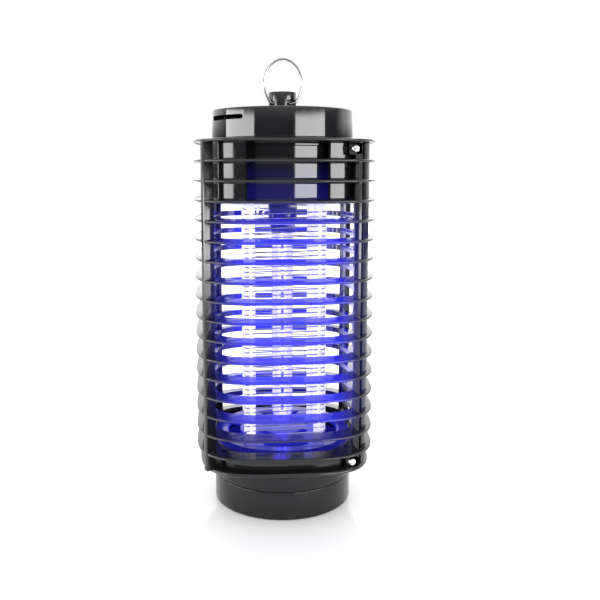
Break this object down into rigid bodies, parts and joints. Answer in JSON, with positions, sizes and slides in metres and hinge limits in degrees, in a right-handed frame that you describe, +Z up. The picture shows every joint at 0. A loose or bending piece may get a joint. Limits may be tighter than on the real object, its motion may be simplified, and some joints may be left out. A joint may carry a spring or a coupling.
{
  "type": "electric bug zapper",
  "caption": "Hanging lantern bug zapper: finned black cage round a UV lamp and a wire grid, drum-shaped head with wire hanging ring, pull-off round tray below.",
  "frame": {"origin": "on the surface it stands on, under the middle of the tray", "axes": "+Z up the lantern's axis, -Y its front, +X to the right seen from the front"},
  "size_m": [0.12, 0.12, 0.3048],
  "materials": {
    "black_plastic": "high-gloss moulded",
    "plated_steel": "bright zinc plate",
    "chrome_wire": "polished",
    "grid_wire": "drawn wire",
    "white_insulator": "satin moulded",
    "lamp_glass": "phosphor-coated glass",
    "circuit_board": "solder mask",
    "ferrite": "sintered",
    "enamelled_copper": "enamelled winding",
    "capacitor_sleeve": "shrunk sleeve",
    "capacitor_epoxy": "dipped epoxy",
    "rubber": "moulded"
  },
  "bodies": {
    "housing": {"cage_half_front": "black_plastic", "cage_half_back": "black_plastic", "cage_screw_1": "plated_steel", "cage_screw_2": "plated_steel", "cage_screw_3": "plated_steel", "cage_screw_4": "plated_steel", "head_housing": "black_plastic", "hanger_neck": "black_plastic", "neck_nut": "plated_steel", "head_plate": "black_plastic", "head_screw_1": "plated_steel", "head_screw_2": "plated_steel", "head_screw_3": "plated_steel", "board_screw_1": "plated_steel", "board_screw_2": "plated_steel", "board_screw_3": "plated_steel", "circuit_board": "circuit_board", "ballast_core": "ferrite", "ballast_coil": "enamelled_copper", "smoothing_capacitor": "capacitor_sleeve", "hv_capacitor_1": "capacitor_epoxy", "hv_capacitor_2": "capacitor_epoxy", "hv_diode_1": "ferrite", "hv_diode_2": "ferrite", "cord_gland": "rubber", "lamp_socket": "black_plastic", "lamp_base": "black_plastic", "lamp_tube": "lamp_glass", "lamp_lead": "white_insulator", "grid_post_1": "white_insulator", "grid_post_2": "white_insulator", "grid_post_3": "white_insulator", "grid_post_4": "white_insulator", "post_screw_1": "plated_steel", "post_screw_2": "plated_steel", "post_screw_3": "plated_steel", "post_screw_4": "plated_steel", "grid_wire_1": "grid_wire", "grid_wire_2": "grid_wire", "floor_plate": "black_plastic", "base_collar": "black_plastic", "base_screw_1": "plated_steel", "base_screw_2": "plated_steel", "base_screw_3": "plated_steel", "base_screw_4": "plated_steel"},
    "tray": {"tray_cup": "black_plastic"},
    "hanging_ring": {"hanging_ring": "chrome_wire"}
  },
  "joints": [
    {"name": "hanger_swing", "type": "hinge", "parent": "housing", "child": "hanging_ring", "pos_m": [0, -0.0058, 0.2746], "axis": [1, 0, 0], "range_deg": [-25, 95]},
    {"name": "tray_pull", "type": "slide", "parent": "housing", "child": "tray", "axis": [0, 0, -1], "range_m": [0, 0.045]}
  ]
}
